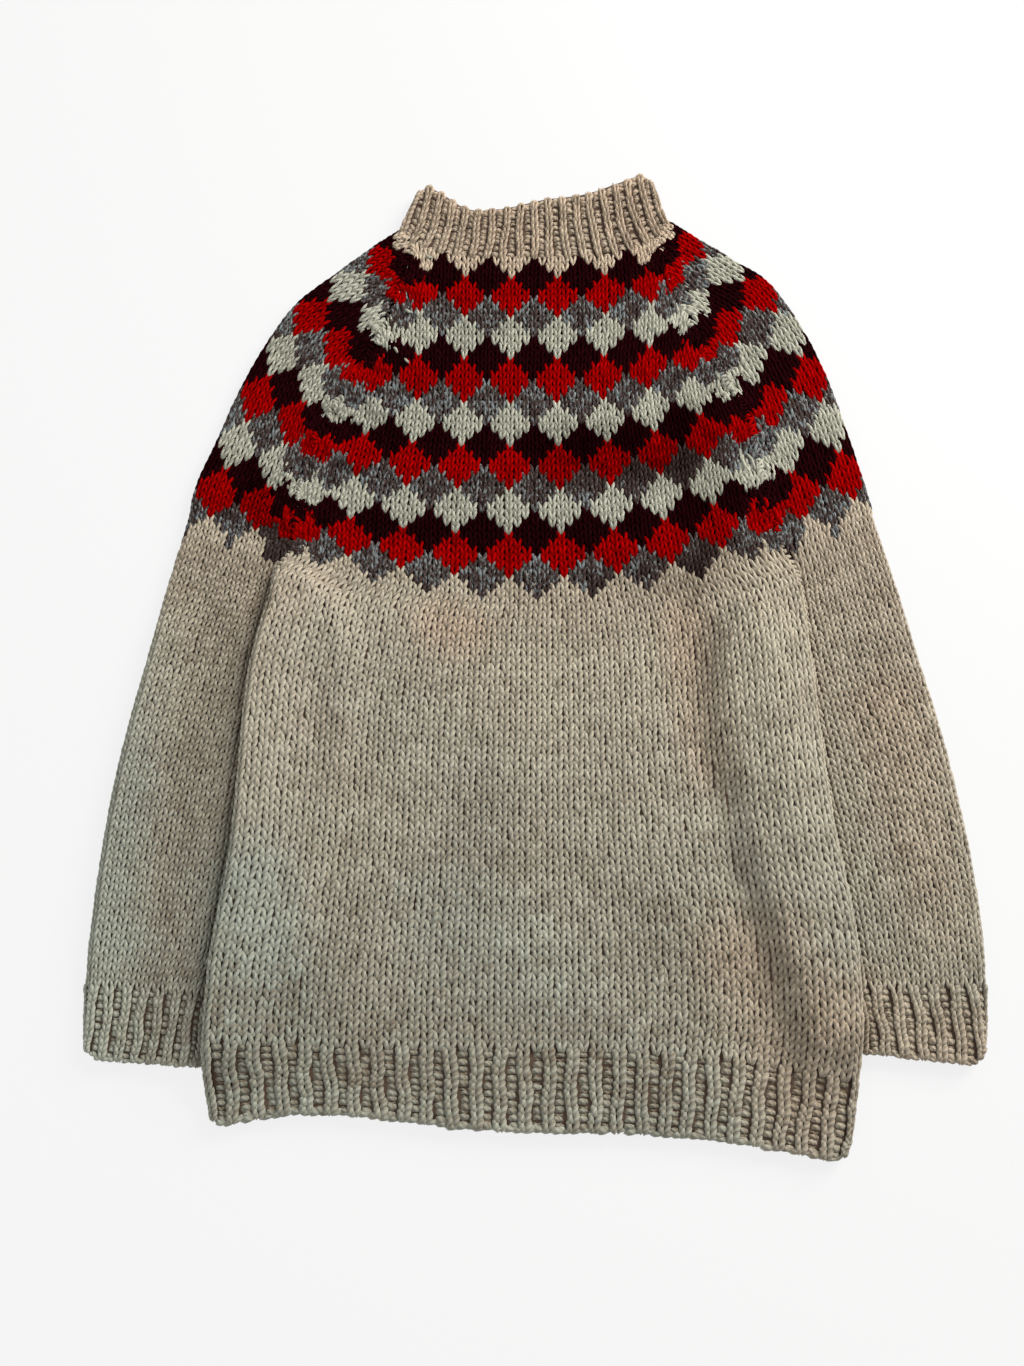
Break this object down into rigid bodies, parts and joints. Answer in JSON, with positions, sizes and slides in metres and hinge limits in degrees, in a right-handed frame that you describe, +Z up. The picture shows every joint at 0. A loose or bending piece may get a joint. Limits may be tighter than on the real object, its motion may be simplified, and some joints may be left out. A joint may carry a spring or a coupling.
{
  "type": "fair isle jumper",
  "caption": "Hand-knitted wool jumper laid flat, oatmeal with a round yoke of diamonds in grey, red, black and cream, ribbed neck, cuffs and hem.",
  "frame": {"origin": "centre of the bounding box's underside, on the surface that the jumper lies on", "axes": "+X to the right of the jumper as it lies, +Y from the hem to the neck, +Z up out of the front"},
  "size_m": [0.628, 0.7541, 0.0206],
  "materials": {
    "oatmeal_wool": "bulky two-ply wool in stocking stitch and one-by-one rib, matt with a soft nap",
    "grey_wool": "heather grey two-ply wool with pale flecks, matt",
    "red_wool": "deep red two-ply wool, matt",
    "black_wool": "brown-black two-ply wool, matt",
    "cream_wool": "cream two-ply wool, matt"
  },
  "bodies": {
    "root": {"front": "oatmeal_wool", "back": "oatmeal_wool", "hem_rib_front": "oatmeal_wool", "hem_rib_back": "oatmeal_wool", "neck_rib_front": "oatmeal_wool", "neck_rib_back": "oatmeal_wool", "sleeve_left": "oatmeal_wool", "sleeve_right": "oatmeal_wool", "cuff_left": "oatmeal_wool", "cuff_right": "oatmeal_wool"}
  },
  "joints": []
}
